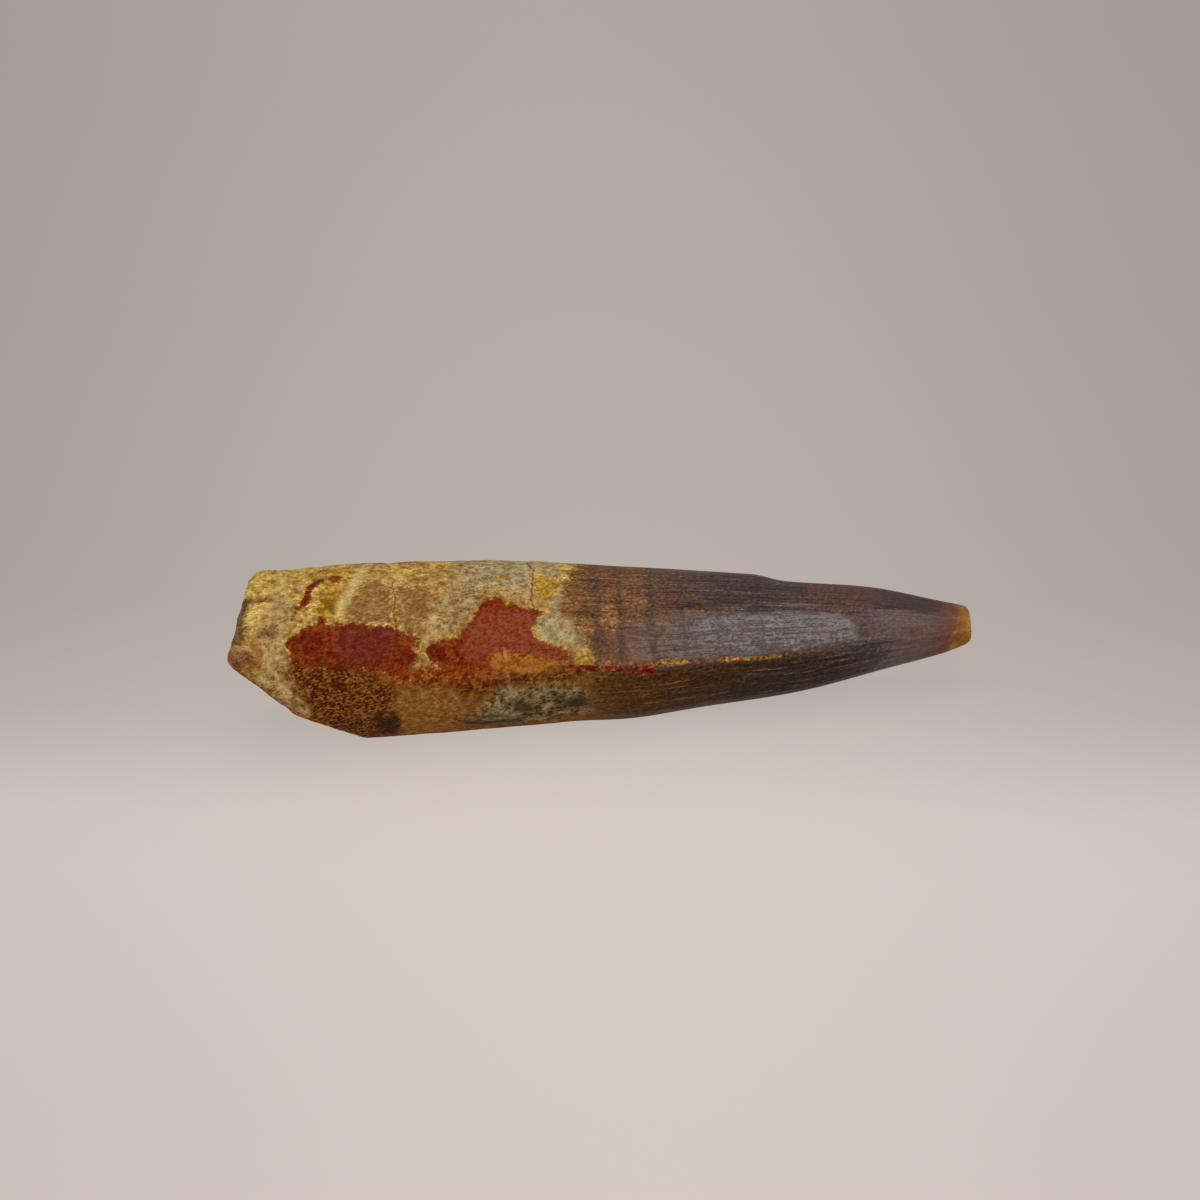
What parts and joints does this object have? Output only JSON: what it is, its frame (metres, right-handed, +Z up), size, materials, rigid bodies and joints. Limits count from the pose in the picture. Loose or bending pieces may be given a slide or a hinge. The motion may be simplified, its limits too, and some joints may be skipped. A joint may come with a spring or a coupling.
{
  "type": "spinosaurus tooth",
  "caption": "Conical fossil dinosaur tooth with a broken root end, fluted crown with cutting edges and a blunt worn tip, lying on its side.",
  "frame": {"origin": "bottom centre of the whole tooth's box, on the surface it rests on", "axes": "+X along the tooth from the broken root end to the tip, +Y to the far cutting edge, +Z up"},
  "size_m": [0.1, 0.0272, 0.0232],
  "materials": {
    "tooth": "satin"
  },
  "bodies": {
    "root": {"tooth": "tooth"}
  },
  "joints": []
}
